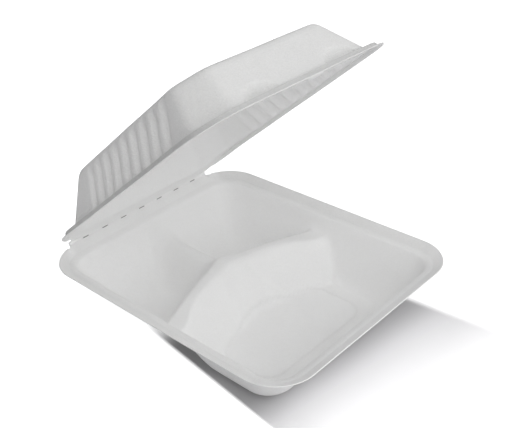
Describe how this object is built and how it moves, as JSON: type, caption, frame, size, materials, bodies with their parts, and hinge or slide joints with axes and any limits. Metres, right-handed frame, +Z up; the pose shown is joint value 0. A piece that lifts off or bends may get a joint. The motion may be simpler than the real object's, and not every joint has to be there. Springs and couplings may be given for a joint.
{
  "type": "moulded fibre clamshell container",
  "caption": "Moulded plant-fibre food container: a flanged tray with divided compartments and a domed lid with ribbed sides, standing partly open on its fold.",
  "frame": {"origin": "middle of the tray's outline, on the surface that it stands on", "axes": "+Z up, the fold along X at the back (+Y), the front edge towards -Y"},
  "size_m": [0.2, 0.2443, 0.2182],
  "materials": {
    "moulded_fibre": "matt off-white pressed plant fibre with a fine screen texture"
  },
  "bodies": {
    "tray": {"tray": "moulded_fibre"},
    "lid": {"lid": "moulded_fibre"}
  },
  "joints": [
    {"name": "lid_fold", "type": "hinge", "parent": "tray", "child": "lid", "pos_m": [0, 0.1203, 0.04755], "axis": [-1, 0, 0], "range_deg": [-39.2, 140.8]}
  ]
}
